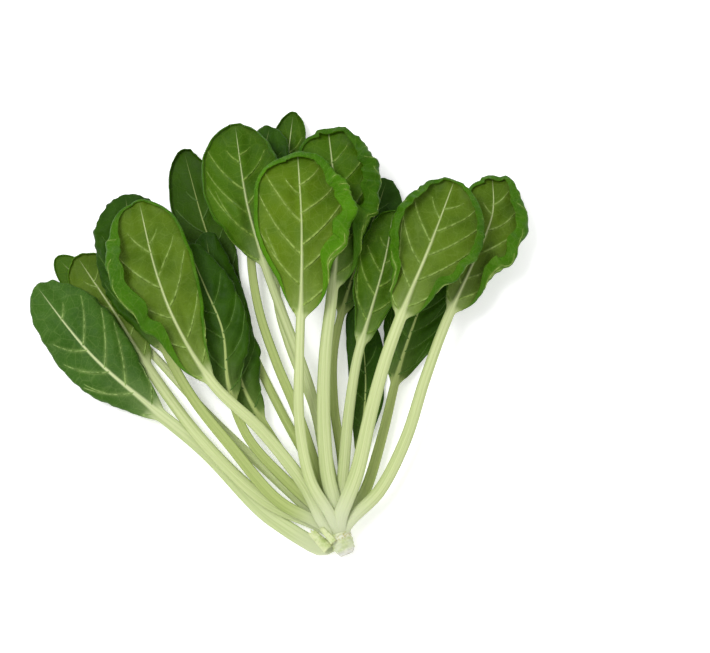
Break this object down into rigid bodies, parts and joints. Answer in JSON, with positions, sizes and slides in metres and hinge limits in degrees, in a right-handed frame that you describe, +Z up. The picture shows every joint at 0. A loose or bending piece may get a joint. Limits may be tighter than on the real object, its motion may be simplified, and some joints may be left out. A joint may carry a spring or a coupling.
{
  "type": "tatsoi head",
  "caption": "Cut head of a long-stemmed leafy green: spoon-shaped dark leaves on pale stalks, fanned out from a short crown and lying on their side.",
  "frame": {"origin": "middle of the head's outline on the table it lies on", "axes": "+Z up, +Y from the root cut towards the leaf tips, +X to the right seen from above with the tips away"},
  "size_m": [0.303, 0.2802, 0.0553],
  "materials": {
    "leaf": "satin leaf, pale stalk running into dark green blade",
    "crown_flesh": "dull cut plant flesh",
    "stub_flesh": "dull cut stalk"
  },
  "bodies": {
    "root": {"crown": "crown_flesh", "cut_stub_broad": "stub_flesh", "cut_stub_small": "stub_flesh", "outer_left_leaf": "leaf", "low_left_leaf": "leaf", "under_left_leaf": "leaf", "back_left_leaf": "leaf", "top_left_leaf": "leaf", "dark_left_leaf": "leaf", "inner_left_leaf": "leaf", "curled_left_leaf": "leaf", "upper_left_leaf": "leaf", "back_middle_leaf": "leaf", "far_middle_leaf": "leaf", "front_middle_leaf": "leaf", "middle_right_leaf": "leaf", "back_right_leaf": "leaf", "slim_right_leaf": "leaf", "heart_leaf": "leaf", "top_right_leaf": "leaf", "outer_right_leaf": "leaf", "low_right_leaf": "leaf"}
  },
  "joints": []
}
